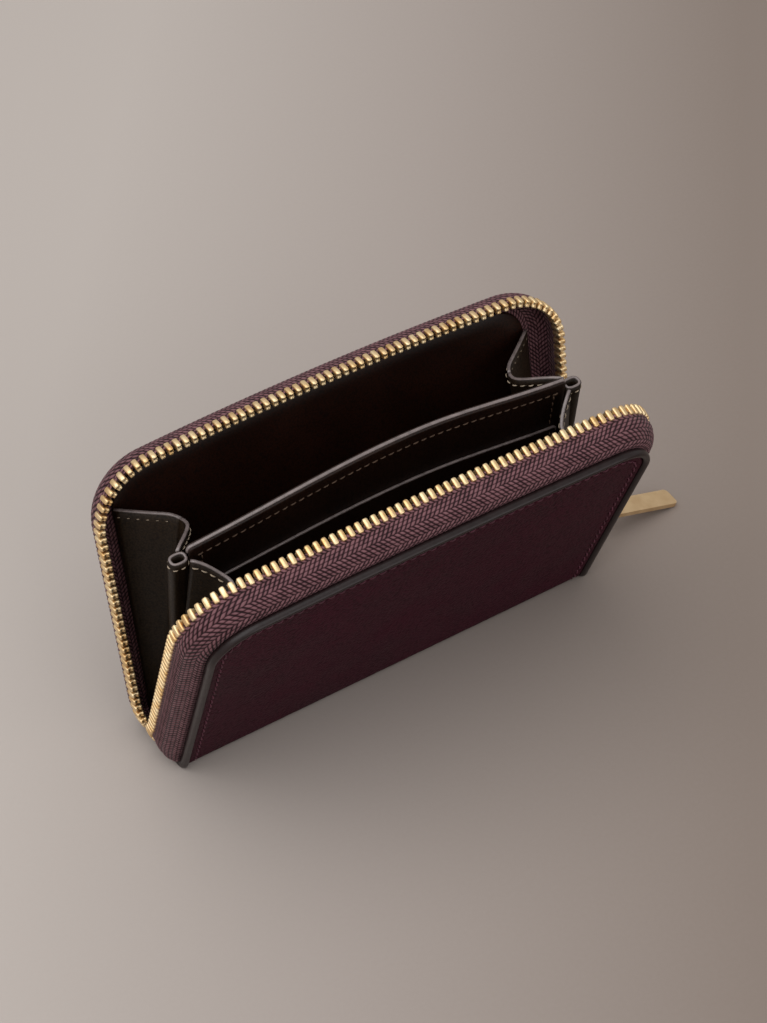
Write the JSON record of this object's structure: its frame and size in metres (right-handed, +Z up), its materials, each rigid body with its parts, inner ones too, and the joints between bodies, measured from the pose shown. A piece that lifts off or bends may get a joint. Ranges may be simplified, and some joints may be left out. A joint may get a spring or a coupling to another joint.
{
  "type": "zip around wallet",
  "caption": "Zip around wallet standing open: leather covers on a spine, zip round the rim, folded gussets, pocket divider, slider with bar puller.",
  "frame": {"origin": "centre of the spine's underside, on the ground", "axes": "X along the spine with the slider's end at +X, front cover on the -Y side, +Z up out of the open wallet"},
  "size_m": [0.1578, 0.0579, 0.0833],
  "materials": {
    "cover_leather": "fine pebbled, semi-matt",
    "inner_leather": "smooth, satin",
    "lining": "smooth, matt",
    "board": "grey fibreboard, matt",
    "tape_cloth": "herringbone weave, matt",
    "zip_metal": "polished",
    "slider_metal": "satin"
  },
  "bodies": {
    "spine": {"spine_leather": "cover_leather", "spine_board": "board", "spine_lining": "lining", "divider_anchor": "inner_leather", "zip_tail_left": "tape_cloth", "zip_tail_right": "tape_cloth", "zip_bottom_stop": "zip_metal", "gusset_left_front": "inner_leather", "gusset_left_back": "inner_leather", "gusset_right_front": "inner_leather", "gusset_right_back": "inner_leather"},
    "front_cover": {"front_panel": "cover_leather", "front_board": "board", "front_lining": "lining", "front_zip_tape": "tape_cloth", "front_zip_teeth": "zip_metal", "front_zip_stop": "zip_metal"},
    "back_cover": {"back_panel": "cover_leather", "back_board": "board", "back_lining": "lining", "back_zip_tape": "tape_cloth", "back_zip_teeth": "zip_metal", "back_zip_stop": "zip_metal"},
    "divider": {"divider_board": "board", "divider_front": "inner_leather", "divider_back": "inner_leather", "card_pocket_1": "inner_leather", "card_pocket_2": "inner_leather", "card_pocket_3": "inner_leather", "divider_wrap_left": "inner_leather", "divider_wrap_right": "inner_leather"},
    "slider": {"slider_body": "slider_metal", "slider_bail": "slider_metal"},
    "puller": {"pull_bar": "slider_metal"}
  },
  "joints": [
    {"name": "front_cover_hinge", "type": "hinge", "parent": "spine", "child": "front_cover", "pos_m": [0, -0.00725, 0.004], "axis": [-1, 0, 0], "range_deg": [0, 19.7], "deforming": ["gusset_left_front", "gusset_right_front"]},
    {"name": "back_cover_hinge", "type": "hinge", "parent": "spine", "child": "back_cover", "pos_m": [0, 0.00725, 0.004], "axis": [1, 0, 0], "range_deg": [0, 8.5], "deforming": ["gusset_left_back", "gusset_right_back"]},
    {"name": "divider_swing", "type": "hinge", "parent": "spine", "child": "divider", "pos_m": [0, 0, 0.00437], "axis": [-1, 0, 0], "range_deg": [0, 7], "deforming": ["gusset_left_front", "gusset_left_back", "gusset_right_front", "gusset_right_back"]},
    {"name": "slider_travel", "type": "slide", "parent": "spine", "child": "slider", "axis": [0, 0, 1], "range_m": [0, 0.004]},
    {"name": "puller_swing", "type": "hinge", "parent": "slider", "child": "puller", "pos_m": [0.0663, 0, 0.0099], "axis": [0, -1, 0], "range_deg": [-71, 108]}
  ],
  "couplings": [
    {"joint": "divider_swing", "follows": "front_cover_hinge", "ratio": 0.3553}
  ]
}
